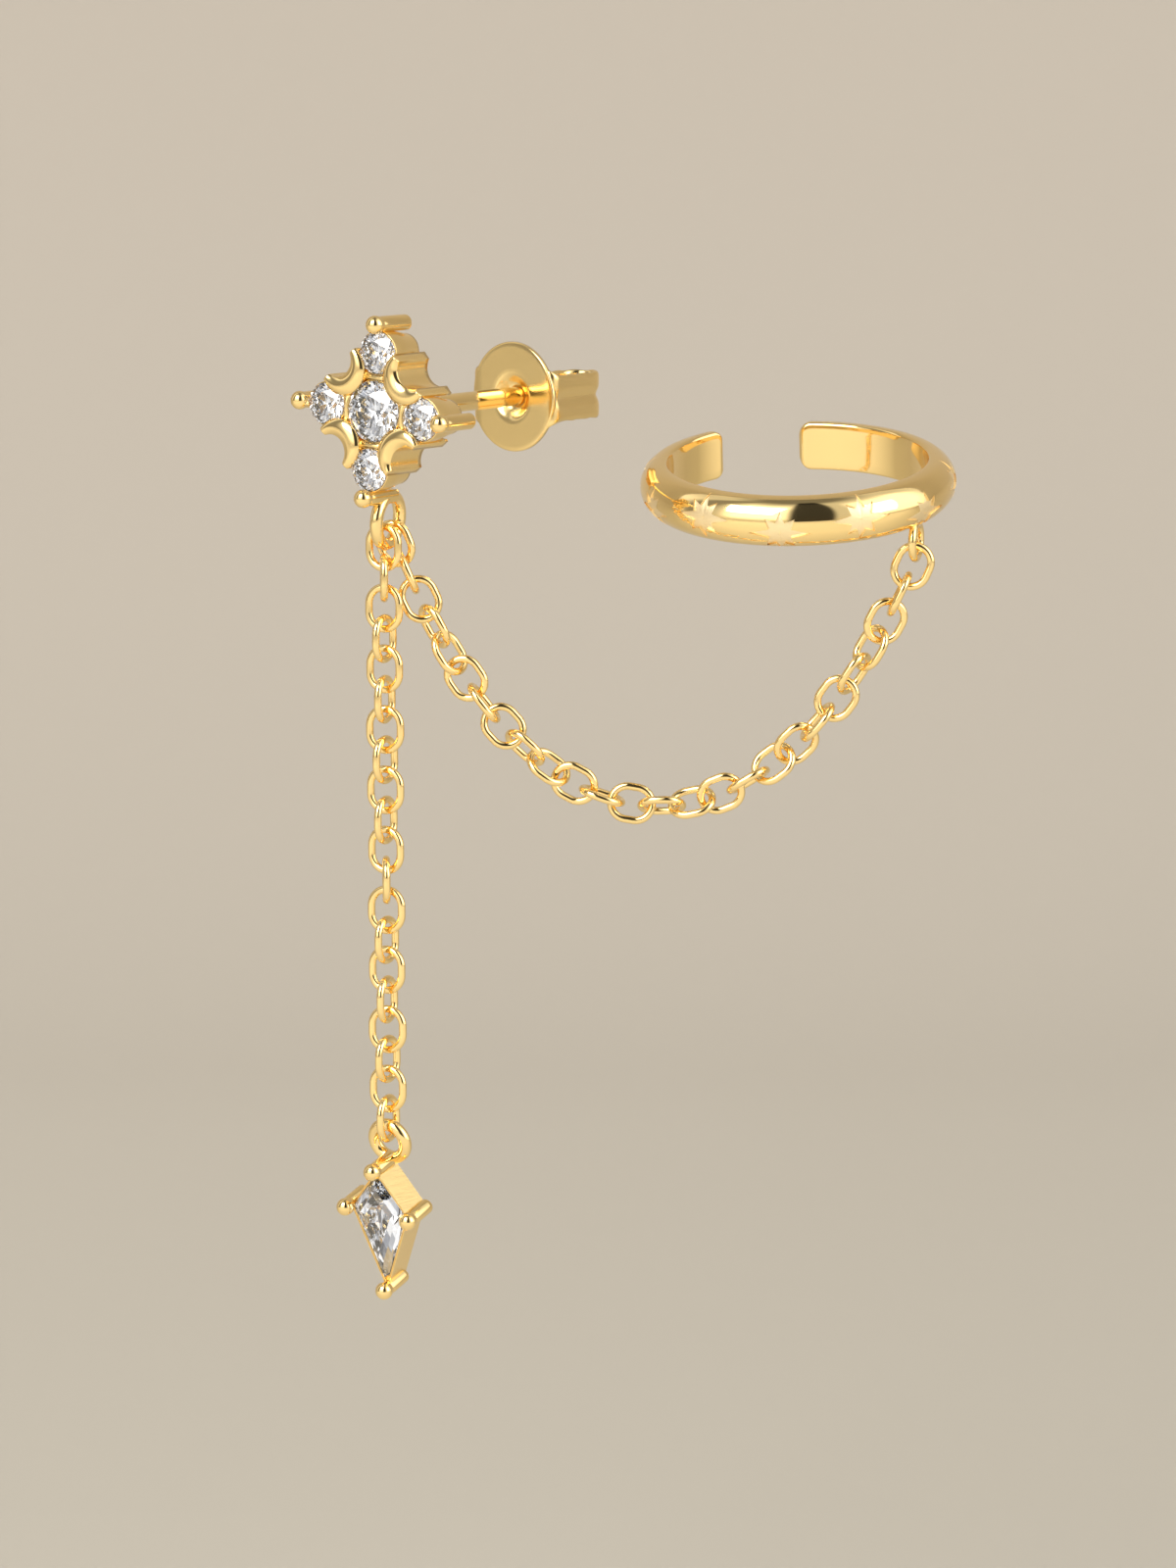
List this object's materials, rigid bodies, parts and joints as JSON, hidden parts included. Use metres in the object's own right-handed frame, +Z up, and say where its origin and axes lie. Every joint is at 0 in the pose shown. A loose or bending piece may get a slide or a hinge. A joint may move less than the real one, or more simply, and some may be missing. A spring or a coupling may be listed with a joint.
{
  "type": "ear chain earring",
  "caption": "Cross-shaped stud earring with a butterfly clutch, a straight chain with a kite-cut stone pendant, and a hanging chain to an open ear cuff.",
  "frame": {"origin": "on the ear post's axis at the back of the stud, where the stud rests on the front of the ear lobe", "axes": "+Y back through the lobe along the post, +X to the viewer's right towards the ear cuff, +Z up along the straight chain"},
  "size_m": [0.0227, 0.0198, 0.0412],
  "materials": {
    "gold": "polished gold plate",
    "stone": "cut and polished cubic zirconia"
  },
  "bodies": {
    "earring": {"stud_setting": "gold", "stone_centre": "stone", "stone_top": "stone", "stone_right": "stone", "stone_bottom": "stone", "stone_left": "stone", "chain_drop": "gold", "chain_swag": "gold", "ear_cuff": "gold"},
    "clutch": {"clutch": "gold"},
    "pendant": {"kite_setting": "gold", "kite_stone": "stone"}
  },
  "joints": [
    {"name": "clutch_slide", "type": "slide", "parent": "earring", "child": "clutch", "axis": [0, 1, 0], "range_m": [-0.004, 0.005]},
    {"name": "pendant_swing", "type": "hinge", "parent": "earring", "child": "pendant", "pos_m": [-0.0004, -0.00075, -0.03023], "axis": [0, 1, 0], "range_deg": [-45, 45]}
  ]
}
